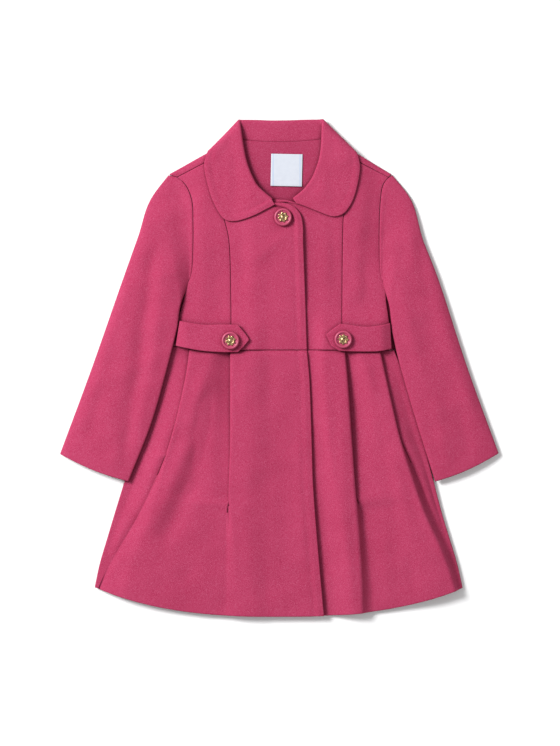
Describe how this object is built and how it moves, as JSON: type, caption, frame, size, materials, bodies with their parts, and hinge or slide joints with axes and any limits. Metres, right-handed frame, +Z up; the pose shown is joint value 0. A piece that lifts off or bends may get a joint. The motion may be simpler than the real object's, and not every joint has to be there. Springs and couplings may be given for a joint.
{
  "type": "child's overcoat laid flat",
  "caption": "Small girl's wool overcoat laid flat: rounded collar, neck button, princess seams, buttoned waist tabs, skirt with knife pleats, plain long sleeves.",
  "frame": {"origin": "middle of the underside, on the surface that the coat lies on", "axes": "+Z up off the surface, out of the coat's front; +Y towards the collar; +X towards the wearer's left"},
  "size_m": [0.504, 0.5709, 0.0193],
  "materials": {
    "pink_wool": "napped wool melton, matt, slightly heathered",
    "label_satin": "plain white satin tape",
    "button_resin": "pink resin, softly glossy",
    "old_brass": "aged pale brass"
  },
  "bodies": {
    "root": {"bodice_back": "pink_wool", "skirt_back": "pink_wool", "side_front_right": "pink_wool", "centre_front_right": "pink_wool", "skirt_front_right": "pink_wool", "sleeve_right": "pink_wool", "tab_right": "pink_wool", "side_front_left": "pink_wool", "centre_front_left": "pink_wool", "skirt_front_left": "pink_wool", "sleeve_left": "pink_wool", "tab_left": "pink_wool", "collar": "pink_wool", "back_neck_facing": "pink_wool", "neck_label": "label_satin", "button_neck": "button_resin", "rosette_neck": "old_brass", "button_right": "button_resin", "rosette_right": "old_brass", "button_left": "button_resin", "rosette_left": "old_brass"}
  },
  "joints": []
}
